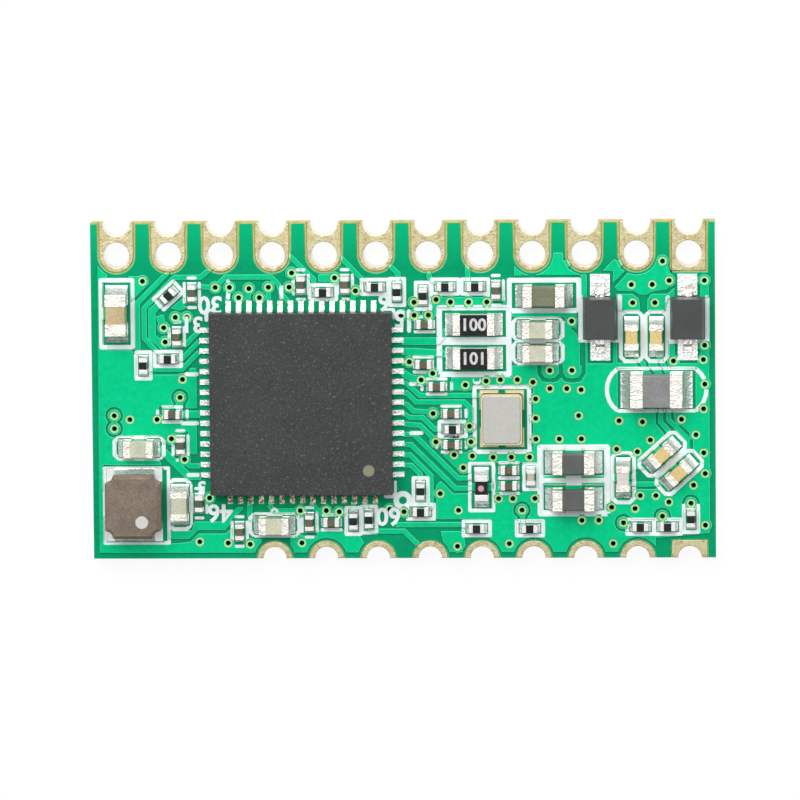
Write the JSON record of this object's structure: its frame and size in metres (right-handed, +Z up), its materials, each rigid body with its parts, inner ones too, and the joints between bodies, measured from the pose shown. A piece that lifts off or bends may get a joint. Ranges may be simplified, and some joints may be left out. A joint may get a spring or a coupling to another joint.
{
  "type": "power line communication module",
  "caption": "Flat rectangular circuit board with plated edge pads and header holes, a square controller chip and small soldered parts, for sending data over power lines.",
  "frame": {"origin": "centre of the board's underside", "axes": "+X along the long edges, +Y towards the edge with the header holes, +Z up out of the face that carries the parts"},
  "size_m": [0.024, 0.013, 0.002],
  "materials": {
    "laminate": "woven glass-epoxy",
    "mask_low": "glossy film over bare laminate",
    "mask_high": "glossy film over copper",
    "gold_plate": "flash gold over nickel",
    "solder": "reflowed solder",
    "mould_compound": "fine satin",
    "tinned_lead": "matte tin",
    "brown_ceramic": "sintered",
    "lid_metal": "nickel satin",
    "inductor_powder": "pressed powder",
    "diode_compound": "satin",
    "ferrite": "sintered",
    "alumina": "white ceramic",
    "resistor_coat": "glassy coat",
    "tan_ceramic": "sintered",
    "olive_ceramic": "sintered",
    "grey_ceramic": "sintered",
    "pink_ceramic": "sintered",
    "lamp_moulding": "satin",
    "lamp_resin": "clear tinted resin"
  },
  "bodies": {
    "root": {"laminate": "laminate", "solder_mask_bottom": "mask_low", "top_copper": "gold_plate", "solder_mask_base": "mask_low", "solder_mask_top": "mask_high", "header_pads": "gold_plate", "lower_pads": "gold_plate", "via_barrels": "gold_plate", "solder_joints": "solder", "controller_body": "mould_compound", "controller_leads": "tinned_lead", "controller_ground_pad": "tinned_lead", "crystal_base": "brown_ceramic", "crystal_seal_ring": "gold_plate", "crystal_lid": "lid_metal", "inductor_core": "inductor_powder", "inductor_terminals": "tinned_lead", "left_diode_body": "diode_compound", "left_diode_leads": "tinned_lead", "right_diode_body": "diode_compound", "right_diode_leads": "tinned_lead", "line_ferrite_body": "ferrite", "line_ferrite_terminals": "tinned_lead", "upper_bead_body": "ferrite", "upper_bead_terminals": "tinned_lead", "lower_bead_body": "ferrite", "lower_bead_terminals": "tinned_lead", "upper_resistor_body": "alumina", "upper_resistor_terminals": "tinned_lead", "lower_resistor_body": "alumina", "lower_resistor_terminals": "tinned_lead", "coded_resistor_coats": "resistor_coat", "inlet_capacitor_body": "tan_ceramic", "inlet_capacitor_terminals": "tinned_lead", "outlet_capacitor_body": "olive_ceramic", "outlet_capacitor_terminals": "tinned_lead", "filter_capacitor_1": "grey_ceramic", "filter_capacitor_2": "grey_ceramic", "coupling_capacitor_1": "tan_ceramic", "coupling_capacitor_2": "tan_ceramic", "coupling_capacitor_3": "tan_ceramic", "coupling_capacitor_4": "tan_ceramic", "supply_capacitor_1": "grey_ceramic", "supply_capacitor_2": "grey_ceramic", "supply_capacitor_3": "grey_ceramic", "bead_capacitor": "pink_ceramic", "small_capacitor_terminals": "tinned_lead", "lamp_body": "lamp_moulding", "lamp_window": "lamp_resin", "lamp_terminals": "tinned_lead", "tiny_capacitor_bodies": "brown_ceramic", "tiny_capacitor_terminals": "tinned_lead", "tiny_resistor_bodies": "alumina", "tiny_resistor_terminals": "tinned_lead", "tiny_resistor_coats": "resistor_coat"}
  },
  "joints": []
}
